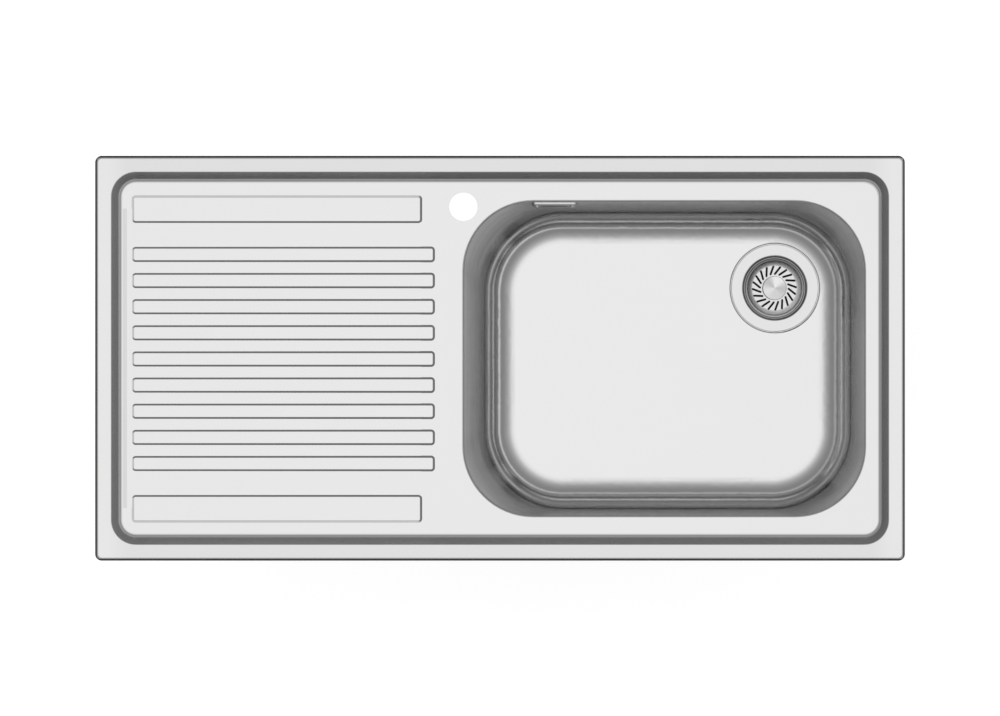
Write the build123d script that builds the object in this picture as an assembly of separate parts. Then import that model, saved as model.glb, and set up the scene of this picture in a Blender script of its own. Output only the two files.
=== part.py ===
"""Inset kitchen sink: drainboard on the left, one bowl on the right, with its waste, overflow and worktop clips.

Millimetres. The origin is the centre of the rim's seat on the worktop, with +Z up, +X to the right and
+Y to the back, where the tap stands. Lengths along the rim are measured from the origin, and "inboard" is a
distance in from the rim's outer edge.
"""
from build123d import *
from math import atan2, cos, degrees, hypot, radians, sin, tan
import os

# ---- pressed top
sheet = 1.0                    # wall of the top and of the bowl
top_length = 1000.0            # X
top_depth = 500.0              # Y
rim_height = 5.0               # rim's face above the worktop
rim_corner = 8.0
rim_roll = 4.2                 # rounding of the rim's outer edge
rim_band = 20.0                # flat band from the rim's edge to the step
step_run = 10.5                # the step's width in plan
step_drop = 10.0               # from the rim's face down to the deck
step_corner = 20.0             # corner radius at the foot of the step
step_crest = 1.6               # rounding at the top of the step
step_foot = 8.0                # rounding at its foot
rim_top = rim_height
deck = rim_top - step_drop
deck_back = deck - sheet
step_lean = atan2(step_drop, step_run)

# ---- the bowl's opening, which the drainboard is laid out from
bowl_right = 47.0              # inboard, from the rim's right edge to the opening
bowl_land_back = 54.0          # inboard, behind the opening
bowl_land_front = 53.0         # and in front of it
mouth_length = 500.0
mouth_depth = top_depth - bowl_land_back - bowl_land_front
mouth_corner = 88.0
mouth_roll = 3.0               # rounding from the deck into the collar
bowl_place = (top_length / 2 - bowl_right - mouth_length / 2,    # middle of the opening
              (bowl_land_front - bowl_land_back) / 2)
mouth_left = bowl_place[0] - mouth_length / 2

# ---- drainboard
field_left = 34.0              # inboard, where the raised field starts
field_slope = 5.0              # run of its left slope
field_gap = 50.5               # from its right edge to the opening
field_right = mouth_left - field_gap
field_high = 0.4               # its height at the left
field_low = 0.2                # and at the right, so that water runs to the bowl
field_top = field_left + field_slope - top_length / 2    # X of its highest line
field_fall = (field_high - field_low) / (field_right - field_top)    # per mm towards the bowl
rib_pitch = 32.3
rib_width = 17.0               # at half height, as is every rib and pad size here
rib_inboard = 46.2
rib_gap = 34.7                 # from a rib's right end to the opening
rib_left = rib_inboard - top_length / 2
rib_right = mouth_left - rib_gap
rib_rise = 2.2                 # top above the deck
rib_lean = 40.0                # slope of its walls, in degrees
rib_corner = 3.5
rib_round = 0.8
rib_root = 0.5                 # how far a rib or the field is rooted in the deck
drain_shift = -0.9             # the ribs' and pads' middle, from the sink's
pad_width = 32.0
pad_inboard = 65.0
pad_place = top_depth / 2 - pad_inboard    # Y of the wide pads' middles
rib_clear = 10.0               # least from the outer ribs to the pads
rib_count = 2 * int((pad_place - pad_width / 2 - rib_width / 2 - rib_clear) / rib_pitch) + 1
tap_offset = 1.7               # tap hole, right of the opening's left edge
tap_inboard = 62.8
tap_place = (mouth_left + tap_offset, top_depth / 2 - tap_inboard)
tap_radius = 17.5

# ---- bowl
collar_long = 4.0              # straight collar below the deck, where the bowl is welded on
bowl_deep = 187.0              # from the deck to the floor
draft_left = 30.4              # how far each wall has come in at the floor
draft_right = 13.1
draft_back = 12.9
draft_front = 7.0
floor_corner = 102.0
floor_round = 39.0
collar_foot = deck_back - collar_long
floor = deck - bowl_deep
throat_length = mouth_length - 2 * mouth_roll
throat_depth = mouth_depth - 2 * mouth_roll
throat_corner = mouth_corner - mouth_roll
floor_length = throat_length - draft_left - draft_right
floor_depth = throat_depth - draft_back - draft_front
floor_place = (bowl_place[0] + (draft_left - draft_right) / 2,    # middle of the section at the floor
               bowl_place[1] + (draft_front - draft_back) / 2)

# ---- waste: heights are below the bowl's floor
waste_from_right = 90.9        # from the walls at the floor
waste_from_back = 91.7
waste_place = (floor_place[0] + floor_length / 2 - waste_from_right,
               floor_place[1] + floor_depth / 2 - waste_from_back)
flange_radius = 55.0
flange_gap = 0.8               # between flange and recess
recess_deep = 2.0
recess_edge = 1.5              # rounding from the bowl's floor into the recess
flange_low = 0.2               # flange's face below the floor
cup_wall = 1.0
flange_edge = 0.8              # rounding of the flange's edge
drain_hole = 45.0              # radius of the hole in the bowl
throat_top = 38.7
throat_low = 38.3
throat_round = 3.2             # rounding from the flange into the throat
ledge_deep = 9.0               # ledge that carries the basket's rim
ledge_inner = 35.6
cup_radius = 35.2
cup_deep = 40.0
cup_round = 4.0
window_outer = 21.0
window_inner = 9.0
spoke = 5.0
washer_wall = 3.0
washer_outer = 54.0
washer_inner = 46.0
body_flange = 4.0
body_outer = 47.5
body_inner = 44.5
body_deep = 42.0
cone_deep = 18.0
outlet_radius = 23.9           # G 1 1/2 thread, outside
outlet_bore = 20.5
outlet_length = 26.0
outlet_chamfer = 0.7
screw_bore = 3.05
screw_radius = 2.95
screw_head = 5.0
screw_head_high = 2.4
hub_boss_radius = 7.0
hub_boss_drop = 2.5            # from the body's straight wall down to the boss's top
hub_boss_long = 13.5
spider_wall = 4.0
spider_high = 8.0

# ---- strainer basket and stopper
basket_sheet = 0.8
basket_deep = 19.0             # face of the slotted disc
basket_round = 6.0             # from the disc up into its wall
basket_radius = 34.9           # outside of its wall
basket_rim = 37.5
basket_rim_high = 2.2
basket_draft = 0.5             # how far its wall has come in at the disc
basket_lift = 0.2              # running gap above the ledge
slot_count = 20
slot_inner = 17.0
slot_outer = 28.4
slot_sweep = 16.5
slot_width = 2.6
hub_bore = 4.06
hub_flange = 8.5
hub_flange_high = 1.6
hub_neck = 6.5
hub_long = 4.2
stem_radius = 4.0
stem_tip = 3.0
stem_groove = 3.2
stopper_lift = 7.0
stopper_gap = 0.2
seal_inner = 14.0
seal_outer = 24.0
seal_high = 3.0
stopper_plate = 21.0
stopper_plate_high = 1.2
clip_outer = 7.0
clip_high = 1.2
knob_radius = 15.0
knob_face = 4.8                # knob's crown below the floor
knob_crown = 0.8
knob_edge = 2.6
knob_neck = 5.5
knob_gap = 0.5
knob_bore = 3.05

# ---- overflow
overflow_from_left = 115.0     # from the opening's left edge
overflow_down = 23.0           # below the collar
overflow_x = mouth_left + overflow_from_left
overflow_z = collar_foot - overflow_down
cover_width = 56.0
cover_high = 24.0
cover_wall = 3.0
cover_edge = 2.4               # rounding of its face's edge
cover_corner = 4.0
cover_slot = (34.0, 8.0)
wall_slot = (36.0, 12.0)
screw_spacing = 44.0
small_screw = 2.0
small_bore = 2.2
small_head = 3.4
small_head_high = 1.4
small_screw_long = 16.0
gasket_wall = 2.0
elbow_deep = 26.0
elbow_wall = 3.0
spout_out = 15.0               # spout's axis behind the gasket
spout_radius = 10.5
spout_bore = 8.0
spout_long = 20.0
spigot_deep = 34.0             # its axis below the bowl's floor
spigot_end = 72.0              # from the waste's axis
hose_lap = 12.0                # how far the hose goes over each spout
hose_bore = 10.6
hose_cuff = 12.6
hose_crest = 13.6
hose_valley = 11.8
hose_pitch = 4.5
cuff_long = 26.0
band_outer = 14.0
band_wide = 8.0
hose_drop_end = 34.0           # height above the bowl's floor where it turns under the bowl
hose_under = (30.0, 2.25, -37.0)    # next corner, from the overflow's X, the floor's back edge and the floor
hose_last = 88.0               # last corner, from the spigot's end

# ---- worktop seal, rails and clips: distances in from the rim's edge are "inboard"
cutout_inboard = 10.0          # edge of the worktop's cut-out
seal_from = rim_roll + 0.1
seal_to = cutout_inboard - 0.5
rail_wall = 1.2
rail_flange = 10.0
rail_deep = 26.0
rail_foot = deck_back - rail_deep
rail_clear = 5.5               # from the step's foot to the webs
rail_inboard = rim_band + step_run + rail_clear    # outer face of the webs
left_rail_clear = 1.0          # the left one clears the drain field's slope
left_rail_inboard = field_left + field_slope + left_rail_clear
rail_end = 60.0                # inboard, ends of the rails
left_rail_end = 70.0           # within the drain field
rail_tap_gap = 44.7            # leaves room for the tap's nut
rail_overflow_gap = 40.0       # and for the overflow
bracket_wall = 1.5
bracket_width = 24.0
bracket_gap = 4.0              # from the deck down to the bracket
bracket_top = deck_back - bracket_gap
tab_down = 18.5
tab_top = deck_back - tab_down
tab_width = 18.0
tab_nose = 7.0                 # tab beyond the screw's axis
tab_reach = 10.0               # from the webs out to the screw's axis
screw_inboard = rail_inboard - tab_reach
thread_radius = 2.45           # M5
thread_bore = 2.52
boss_outer = 4.8
boss_long = 5.5
boss_foot = tab_top - boss_long
worktop_thick = 44.0           # thickest worktop that the clips grip
clip_travel = 16.0             # and how much thinner one may be
clip_spare = 2.0               # from a raised screw to the deck
arm_wall = 3.0
arm_width = 22.0
arm_flange_wall = 1.6
arm_flange_high = 6.0
arm_deep = 12.0
grip_top = -worktop_thick
arm_foot = grip_top - arm_deep
grip_inboard = 3.5
grip_teeth = 4
tooth_high = 1.2
riser_gap = 3.5                # from the cut-out's edge
riser_inboard = cutout_inboard + riser_gap
guide_gap = 0.4
guide_wall = 2.0
guide_width = 16.0
screw_top = deck_back - clip_travel - clip_spare
guide_top = screw_top - 2.0
head_radius = 4.5
head_high = 3.5
head_gap = 0.05
cross_slot = (5.6, 1.2, 1.6)
clip_end = 100.0               # inboard, outer clips on the long sides
clip_overflow_gap = 92.0
clip_x_rear = (clip_end - top_length / 2, overflow_x + clip_overflow_gap, top_length / 2 - clip_end)
clip_x_front = (clip_end - top_length / 2, 0.0, top_length / 2 - clip_end)

# ---- sound-deadening pads
bowl_pad_wall = 3.0
bowl_pad_size = (210.0, 200.0)
bowl_pad_corner = 12.0
bowl_pad_shift = (-61.65, -16.55)    # from the floor's middle, clear of the waste
bowl_pad_place = (floor_place[0] + bowl_pad_shift[0], floor_place[1] + bowl_pad_shift[1])
drain_pad_wall = 3.0
drain_pad_inboard = 90.0
drain_pad_inset = 32.5         # from the field's right edge
drain_pad_side = 55.0          # from the wide pads' middles
drain_pad_x = (drain_pad_inboard - top_length / 2, field_right - drain_pad_inset)
drain_pad_half = pad_place - drain_pad_side
drain_pad_gap = 0.1


# ---- plain solids
def rod(radius, low, high, at=(0, 0)):
    """An upright cylinder."""
    return Pos(*at, low) * Cylinder(radius, high - low, align=(Align.CENTER, Align.CENTER, Align.MIN))


def ring(outer, inner, low, high, at=(0, 0)):
    """An upright tube."""
    return rod(outer, low, high, at) - rod(inner, low, high, at)


def block(x_span, y_span, z_span):
    """A box between three pairs of coordinates."""
    size = [abs(span[1] - span[0]) for span in (x_span, y_span, z_span)]
    return Pos(min(x_span), min(y_span), min(z_span)) * Box(*size, align=(Align.MIN,) * 3)


def rounded_block(length, depth, corner, low, high, at=(0, 0), flare=0.0):
    """An upright prism on a rounded rectangle, whose walls lean out by flare on the way up."""
    foot = Pos(*at, low) * RectangleRounded(length, depth, corner)
    return extrude(foot, high - low, taper=-degrees(atan2(flare, high - low)))


def turned(*profile, at=(0, 0)):
    """A turned solid from (radius, height) corners, each with an optional rounding."""
    corners = [(r, 0, z) for r, z, *_ in profile]
    rounds = [corner[2] if len(corner) > 2 else 0 for corner in profile]
    face = make_face(FilletPolyline(*corners, radius=rounds, close=True))
    return Pos(*at, 0) * revolve(face, Axis.Z)


def edges_at(solid, height, x_span, y_span):
    """The solid's level edges at one height whose middles lie in a window."""
    def inside(edge):
        middle = edge.center()
        return x_span[0] < middle.X < x_span[1] and y_span[0] < middle.Y < y_span[1]
    return [e for e in solid.edges().filter_by_position(Axis.Z, height - 0.01, height + 0.01) if inside(e)]


def around(place, half_x, half_y):
    """A window about a place, for edges_at."""
    return (place[0] - half_x, place[0] + half_x), (place[1] - half_y, place[1] + half_y)


# ---- pressed top
def raised(length, width, centre, deep):
    """A rib or pad of the drainboard, for the face (deep=0) or the underside (deep=sheet)."""
    lean = radians(rib_lean)
    back = deep * tan(lean / 2)
    rooted = (rib_root + rib_rise / 2) / tan(lean)          # the sizes are those at half height
    solid = rounded_block(
        length + 2 * rooted - 2 * back, width + 2 * rooted - 2 * back, rib_corner + rooted,
        deck - rib_root - deep, deck + rib_rise - deep, centre, flare=-(rib_root + rib_rise) / tan(lean))
    if deep:
        return solid
    return fillet(solid.faces().sort_by(Axis.Z)[-1].edges(), rib_round)


def field_outline(deep, margin=0.0):
    """The drain field's section in X and Z."""
    level = deck - deep
    return [(field_top - field_slope + margin, level), (field_top + margin, level + field_high),
            (field_right - margin, level + field_low)]


def drain_field(deep):
    """The raised field that carries water to the bowl, for the face or the underside."""
    outline = field_outline(deep, deep / 2)
    root = deck - deep - rib_root
    points = [(outline[0][0], root), *outline, (outline[-1][0], root)]
    section = make_face(Polyline(*[(x, -pad_place, z) for x, z in points], close=True))
    return extrude(section, 2 * pad_place, dir=(0, 1, 0))


def rib_rows():
    """Y of each rib."""
    return [drain_shift + rib_pitch * (i - (rib_count - 1) / 2) for i in range(rib_count)]


def under_skin(deep):
    """All that lies below the top's face, or with deep=sheet below its underside."""
    back = deep * tan(step_lean / 2)
    inset = 2 * (rim_band + step_run - back)
    body = rounded_block(top_length - 2 * deep, top_depth - 2 * deep, rim_corner - deep,
                         collar_foot - deep, rim_top - deep)
    body = fillet(body.faces().sort_by(Axis.Z)[-1].edges(), rim_roll - deep)
    pan = rounded_block(top_length - inset, top_depth - inset, step_corner + back,
                        deck - deep, rim_top - deep, flare=step_run)
    pan = fillet(pan.faces().sort_by(Axis.Z)[0].edges(), step_foot + deep)
    body -= pan
    crest = body.faces().filter_by(Axis.Z).sort_by(Axis.Z)[-1].inner_wires()[0]
    body = fillet(crest.edges(), step_crest - deep)
    body -= rounded_block(throat_length + 2 * deep, throat_depth + 2 * deep, throat_corner + deep,
                          collar_foot - 2 * deep - 1, deck + 1, bowl_place)
    lip = edges_at(body, deck - deep, *around(bowl_place, throat_length / 2 + 2, throat_depth / 2 + 2))
    body = fillet(lip, mouth_roll - deep)
    body += drain_field(deep)
    rib_centre = (rib_left + rib_right) / 2
    for y in rib_rows():
        body += raised(rib_right - rib_left, rib_width, (rib_centre, y), deep)
    pad_centre = (rib_left + field_right) / 2
    for y in (-pad_place, pad_place):
        body += raised(field_right - rib_left, pad_width, (pad_centre, drain_shift + y), deep)
    return body


def make_sink_top():
    """The pressed sheet: its face less its underside, open below the rim."""
    pressed = under_skin(0) - under_skin(sheet)
    below = rounded_block(top_length + 2, top_depth + 2, rim_corner, collar_foot - 2 * sheet, 0)
    kept = rounded_block(top_length - 2 * rim_band, top_depth - 2 * rim_band, rim_corner,
                         collar_foot - 2 * sheet, 0)
    return pressed - (below - kept) - rod(tap_radius, deck - 2 * sheet, rim_top, tap_place)


# ---- bowl
def bowl_section(height, grow):
    """The bowl's section at a height, on its straight walls, grown outward."""
    share = (collar_foot - height) / (collar_foot - floor)
    def between(top, bottom):
        return top + share * (bottom - top)
    centre = [between(*pair) for pair in zip(bowl_place, floor_place)]
    return Pos(*centre, height) * RectangleRounded(
        between(throat_length, floor_length) + 2 * grow,
        between(throat_depth, floor_depth) + 2 * grow,
        between(throat_corner, floor_corner) + grow)


def bowl_block(grow):
    """The bowl's hollow (grow=0), or the hollow with its sheet."""
    block_of_air = loft([bowl_section(floor - grow, grow), bowl_section(collar_foot, grow)], ruled=True)
    return fillet(block_of_air.faces().sort_by(Axis.Z)[0].edges(), floor_round + grow)


def make_bowl():
    """The drawn bowl, with the waste's recess and hole and the overflow's slot."""
    recess = flange_radius + flange_gap
    outside = bowl_block(sheet) + rod(recess + sheet, floor - recess_deep - sheet, floor - sheet / 4, waste_place)
    inside = bowl_block(0) + rod(recess, floor - recess_deep, floor + recess_deep, waste_place)
    inside += rod(drain_hole, floor - recess_deep - 2 * sheet, floor, waste_place)
    cut = Box(*wall_slot, 6 * sheet)
    for x in (-screw_spacing / 2, screw_spacing / 2):
        cut += Pos(x, 0, 0) * Cylinder(small_bore, 6 * sheet)
    bowl = outside - inside - on_back_wall(cut)
    brink = edges_at(bowl, floor, *around(waste_place, recess, recess))
    return fillet(brink, recess_edge)


def wall_tilt():
    """Lean of the bowl's back wall from upright, in radians."""
    top = bowl_place[1] + throat_depth / 2
    bottom = floor_place[1] + floor_depth / 2
    return atan2(top - bottom, collar_foot - floor)


def back_wall_plane():
    """A plane on the inner face of the back wall at the overflow, with x along the wall, y up it and z into the bowl."""
    tilt = wall_tilt()
    y = bowl_place[1] + throat_depth / 2 - (collar_foot - overflow_z) * tan(tilt)
    return Plane(origin=(overflow_x, y, overflow_z), x_dir=(1, 0, 0), z_dir=(0, -cos(tilt), sin(tilt)))


def on_back_wall(solid):
    """A solid placed from the back wall's own axes."""
    return back_wall_plane().location * solid


# ---- waste
def make_waste_cup():
    """Flange, throat, ledge and cup in one sheet, with four windows round a centre hub."""
    face, back = floor - flange_low, floor - flange_low - cup_wall
    ledge = floor - ledge_deep
    bottom = floor - cup_deep
    cup = turned(
        (flange_radius, back), (flange_radius, face, flange_edge), (throat_top, face, throat_round),
        (throat_low, ledge), (ledge_inner, ledge, 0.4), (cup_radius, bottom, cup_round),
        (screw_bore, bottom), (screw_bore, bottom - cup_wall),
        (cup_radius + cup_wall, bottom - cup_wall, cup_round + cup_wall),
        (ledge_inner + cup_wall, ledge - cup_wall), (throat_low + cup_wall, ledge - cup_wall),
        (throat_top + cup_wall, back, throat_round - cup_wall), at=waste_place)
    windows = ring(window_outer, window_inner, bottom - 2 * cup_wall, bottom + cup_wall)
    for turn in (0, 90):
        windows -= Rot(0, 0, turn) * Pos(0, 0, bottom) * Box(3 * window_outer, spoke, 4 * cup_wall)
    return cup - Pos(*waste_place, 0) * windows


def make_cup_seal():
    """Thin gasket between the flange and the recess."""
    return ring(washer_outer, washer_inner, floor - recess_deep, floor - flange_low - cup_wall, waste_place)


def body_top():
    """Height of the waste body's upper face."""
    return floor - recess_deep - sheet - washer_wall


def make_cup_washer():
    """Rubber washer between the bowl and the waste body."""
    return ring(washer_outer, washer_inner, body_top(), body_top() + washer_wall, waste_place)


def make_waste_body():
    """Plastic body: flange, chamber, cone, threaded outlet, spider with a boss, and the overflow's spigot."""
    top = body_top()
    chamber = floor - body_deep
    cone = chamber - cone_deep
    foot = cone - outlet_length
    shell = turned(
        (flange_radius, top), (flange_radius, top - body_flange, 1.0), (body_outer, top - body_flange),
        (body_outer, chamber, 3.0), (outlet_radius, cone), (outlet_radius, foot + outlet_chamfer),
        (outlet_radius - outlet_chamfer, foot), (outlet_bore, foot), (outlet_bore, cone),
        (body_inner, chamber + 1.0, 2.0), (body_inner, top))
    boss_top = chamber - hub_boss_drop
    spider = rod(hub_boss_radius, boss_top - hub_boss_long, boss_top)
    for turn in (45, 135):
        arm = Box(2 * body_outer, spider_wall, spider_high, align=(Align.CENTER, Align.CENTER, Align.MAX))
        spider += Rot(0, 0, turn) * Pos(0, 0, boss_top) * arm
    chamber_air = turned((0, cone - 1), (outlet_bore + 2, cone - 1), (outlet_bore + 2, cone),
                         (body_outer - 1, chamber + 1), (body_outer - 1, top), (0, top))
    body = shell + (spider & chamber_air) - rod(screw_bore, boss_top - hub_boss_long, boss_top)
    level = floor - spigot_deep
    spigot = Pos(-spigot_end, 0, level) * Rot(0, 90, 0) * Cylinder(
        spout_radius, spigot_end - body_inner - 1, align=(Align.CENTER, Align.CENTER, Align.MIN))
    way = Pos(-spigot_end, 0, level) * Rot(0, 90, 0) * Cylinder(
        spout_bore, spigot_end - body_inner + 6, align=(Align.CENTER, Align.CENTER, Align.MIN))
    return Pos(*waste_place, 0) * (body + spigot - way)


def make_waste_screw():
    """Centre screw from the cup's hub into the body's boss."""
    seat = floor - cup_deep
    tip = floor - body_deep - hub_boss_drop - hub_boss_long + 1.5
    head = rod(screw_head, seat, seat + screw_head_high)
    head = fillet(head.edges().group_by(Axis.Z)[-1], 0.8)
    head -= Pos(0, 0, seat + screw_head_high) * Box(2 * screw_head, 1.2, 2.0)
    return Pos(*waste_place, 0) * (head + rod(screw_radius, tip, seat))


# ---- strainer basket and stopper
def make_basket():
    """Pressed basket with a rolled rim and a ring of swept slots."""
    disc = floor - basket_deep
    seat = floor - ledge_deep + basket_lift
    inner = basket_radius - basket_sheet
    basket = turned(
        (hub_neck + 0.05, disc), (inner - basket_draft, disc, basket_round),
        (inner, seat + basket_rim_high, 0.8), (basket_rim, seat + basket_rim_high, 1.0), (basket_rim, seat),
        (basket_radius, seat), (basket_radius - basket_draft, disc - basket_sheet, basket_round + basket_sheet),
        (hub_neck + 0.05, disc - basket_sheet))
    inner_end = (0.0, slot_inner)
    sweep = radians(-slot_sweep)
    outer_end = (-slot_outer * sin(sweep), slot_outer * cos(sweep))
    run = (outer_end[0] - inner_end[0], outer_end[1] - inner_end[1])
    slot = SlotCenterToCenter(hypot(*run) - slot_width, slot_width)
    middle = ((inner_end[0] + outer_end[0]) / 2, (inner_end[1] + outer_end[1]) / 2)
    slot = Pos(*middle, disc - 2 * basket_sheet) * Rot(0, 0, degrees(atan2(run[1], run[0]))) * slot
    cutter = extrude(slot, 4 * basket_sheet)
    slots = [Rot(0, 0, 360 / slot_count * i) * cutter for i in range(slot_count)]
    return Pos(*waste_place, 0) * (basket - slots)


def make_basket_hub():
    """Guide bush of the stem."""
    disc = floor - basket_deep
    low = disc - basket_sheet - hub_long
    return turned(
        (hub_bore, low), (hub_neck, low, 0.5), (hub_neck, disc), (hub_flange, disc),
        (hub_flange, disc + hub_flange_high, 0.5), (hub_bore, disc + hub_flange_high), at=waste_place)


def hub_low():
    """Height of the guide bush's lower end."""
    return floor - basket_deep - basket_sheet - hub_long


def knob_low():
    """Height of the knob's lower end with the stopper closed."""
    return floor - basket_deep + hub_flange_high + knob_gap


def seal_low():
    """Height of the stopper seal's face with the stopper closed."""
    return floor - cup_deep + stopper_gap


def make_knob():
    """Turned pull knob with a low crown."""
    crown = floor - knob_face
    edge = crown - knob_crown
    low = knob_low()
    return turned(
        (0, crown), (knob_radius, edge, 0.6), (knob_radius, edge - knob_edge, 0.6),
        (knob_neck + 1.5, edge - knob_edge - 2.2, 2.5), (knob_neck, low, 0.4), (knob_bore, low),
        (knob_bore, edge - knob_edge), (0, edge - knob_edge), at=waste_place)


def make_stem():
    """Spindle with the stopper's plate, a groove for its clip and a tip in the knob."""
    plate = seal_low() + seal_high
    groove = hub_low() - stopper_lift - clip_high
    shoulder = knob_low()
    tip = floor - knob_face - knob_crown - knob_edge - 0.5
    return turned(
        (0, plate), (stopper_plate, plate), (stopper_plate, plate + stopper_plate_high, 0.4),
        (stem_radius, plate + stopper_plate_high), (stem_radius, groove), (stem_groove, groove),
        (stem_groove, groove + clip_high), (stem_radius, groove + clip_high), (stem_radius, shoulder),
        (stem_tip, shoulder), (stem_tip, tip), (0, tip), at=waste_place)


def make_stopper_seal():
    """Rubber ring that closes the cup's windows."""
    low = seal_low()
    return turned(
        (seal_inner, low), (seal_outer, low, 0.6), (seal_outer, low + seal_high, 1.2),
        (seal_inner, low + seal_high), at=waste_place)


def make_stem_clip():
    """Ring that stops the stem under the guide bush."""
    low = hub_low() - stopper_lift - clip_high
    return ring(clip_outer, stem_groove, low, low + clip_high, waste_place)


# ---- overflow: these solids are drawn in the back wall's own axes
def wall_back():
    """Outer face of the bowl's back wall."""
    return -sheet * cos(wall_tilt())


def screw_pair(solid):
    """A solid at each of the two screws of the overflow's cover."""
    return [Pos(x, 0, 0) * solid for x in (-screw_spacing / 2, screw_spacing / 2)]


def upright(radius, low, high):
    """A cylinder square to the wall."""
    return Pos(0, 0, low) * Cylinder(radius, high - low, align=(Align.CENTER, Align.CENTER, Align.MIN))


def make_overflow_plate():
    """Cover with a long slot, whose back follows the wall where the bowl's corner begins."""
    plate = extrude(RectangleRounded(cover_width, cover_high, cover_corner), cover_wall)
    plate = fillet(plate.faces().sort_by(Axis.Z)[-1].edges(), cover_edge)
    slot = extrude(SlotOverall(*cover_slot), cover_wall)
    return on_back_wall(plate - slot - screw_pair(upright(small_bore, 0, cover_wall))) & bowl_block(0)


def make_overflow_screws():
    """Two small screws through cover, wall and gasket into the elbow."""
    head = upright(small_head, cover_wall, cover_wall + small_head_high)
    head = fillet(head.edges().group_by(Axis.Z)[-1], 0.8)
    head -= Pos(0, 0, cover_wall + small_head_high) * Box(2 * small_head, 0.9, 1.4)
    screw = head + upright(small_screw, cover_wall - small_screw_long, cover_wall)
    return Compound(children=[on_back_wall(s) for s in screw_pair(screw)])


def make_overflow_gasket():
    """Rubber gasket behind the wall."""
    back = wall_back()
    gasket = Pos(0, 0, back - gasket_wall) * extrude(
        RectangleRounded(cover_width, cover_high, cover_corner), gasket_wall)
    gasket -= Pos(0, 0, back) * Box(*wall_slot, 3 * gasket_wall)
    return on_back_wall(gasket - screw_pair(upright(small_bore, back - gasket_wall, back)))


def elbow_front():
    """Face of the elbow on the gasket."""
    return wall_back() - gasket_wall


def make_overflow_elbow():
    """Plastic elbow: a shallow box with a round spout below."""
    front = elbow_front()
    axis = front - spout_out
    box = Pos(0, 0, front - elbow_deep) * extrude(
        RectangleRounded(cover_width, cover_high, cover_corner), elbow_deep)
    box = fillet(box.faces().sort_by(Axis.Z)[0].edges(), 3.0)
    length = cover_high / 2 + spout_long
    spout = Pos(0, -length, axis) * Rot(-90, 0, 0) * Cylinder(
        spout_radius, length, align=(Align.CENTER, Align.CENTER, Align.MIN))
    hollow = Pos(0, 0, front - (elbow_deep - elbow_wall) / 2) * Box(
        wall_slot[0], cover_high - 2 * elbow_wall, elbow_deep - elbow_wall)
    way = Pos(0, -length, axis) * Rot(-90, 0, 0) * Cylinder(
        spout_bore, length, align=(Align.CENTER, Align.CENTER, Align.MIN))
    holes = screw_pair(upright(small_bore, cover_wall - small_screw_long - 1, front))
    return on_back_wall(box + spout - hollow - way - holes)


def hose_route():
    """The hose's middle line, from inside the cuff on the elbow's spout to that on the waste body's spigot."""
    axis = elbow_front() - spout_out
    end = -cover_high / 2 - spout_long + hose_lap
    wall = back_wall_plane()
    start = wall.from_local_coords(Vector(0, end, axis))
    after = wall.from_local_coords(Vector(0, end - (start.Z - floor - hose_drop_end), axis))
    under = Vector(overflow_x, floor_place[1] + floor_depth / 2, floor) + Vector(*hose_under)
    spigot = Vector(waste_place[0] - spigot_end, waste_place[1], floor - spigot_deep)
    points = [start, after, under, spigot - Vector(hose_last, 0, 0), spigot + Vector(hose_lap, 0, 0)]
    radii = []
    for a, b, c in zip(points, points[1:], points[2:]):
        turn = radians((b - a).get_angle(c - b))
        radii.append(0.45 * min((b - a).length, (c - b).length) / tan(turn / 2))
    print("hose: run lengths", [round((b - a).length) for a, b in zip(points, points[1:])],
          "bend radii", [round(r) for r in radii])
    return Wire(FilletPolyline(*points, radius=radii).edges())


def tube_along(route, radius, start=0.0, stop=None):
    """A round tube along a length of a route."""
    stop = route.length if stop is None else stop
    piece = route.trim(start / route.length, stop / route.length)
    return sweep(Plane(origin=piece @ 0, z_dir=piece % 0) * Circle(radius), path=piece)


def make_overflow_hose():
    """Ribbed hose with a plain cuff on each spout."""
    route = hose_route()
    ribbed = route.length - 2 * cuff_long
    count = int(ribbed / hose_pitch)
    pitch = ribbed / count
    crest = 0.3 * pitch
    edge = 0.15 * pitch
    stations = [(0.0, hose_cuff), (cuff_long, hose_cuff)]
    for i in range(count):
        near = cuff_long + pitch * i
        stations += [(near + edge, hose_valley), (near + edge + 0.2 * pitch, hose_valley),
                     (near + 2 * edge + 0.3 * pitch, hose_crest), (near + 2 * edge + 0.3 * pitch + crest, hose_crest)]
    stations += [(route.length - cuff_long, hose_cuff), (route.length, hose_cuff)]
    circles = []
    for along, radius in stations:
        share = along / route.length
        circles.append(Plane(origin=route @ share, x_dir=steady_x(route % share), z_dir=route % share)
                       * Circle(radius))
    skin = loft(circles, ruled=True)
    hose = skin - tube_along(route, hose_bore)
    print("hose:", count, "ribs, length", round(route.length), "volume", round(hose.volume))
    return hose


def steady_x(along):
    """An X axis for a circle square to a direction, that never spins."""
    across = Vector(0, 0, 1).cross(along) if abs(along.Z) < 0.9 else Vector(0, 1, 0).cross(along)
    return across.normalized()


def make_hose_clips():
    """A band clip on each cuff."""
    route = hose_route()
    bands = []
    for middle in (hose_lap / 2 + 1, route.length - hose_lap / 2 - 1):
        along = route % (middle / route.length)
        at = Plane(origin=route @ (middle / route.length), z_dir=along)
        band = at.location * (Cylinder(band_outer, band_wide) - Cylinder(hose_cuff, band_wide))
        lug = at.location * Pos(0, band_outer + 2, 0) * Box(7, 5, band_wide)
        bands.append(band + (lug - at.location * Cylinder(hose_cuff + 0.2, 2 * band_wide)))
    return Compound(children=bands)


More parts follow.
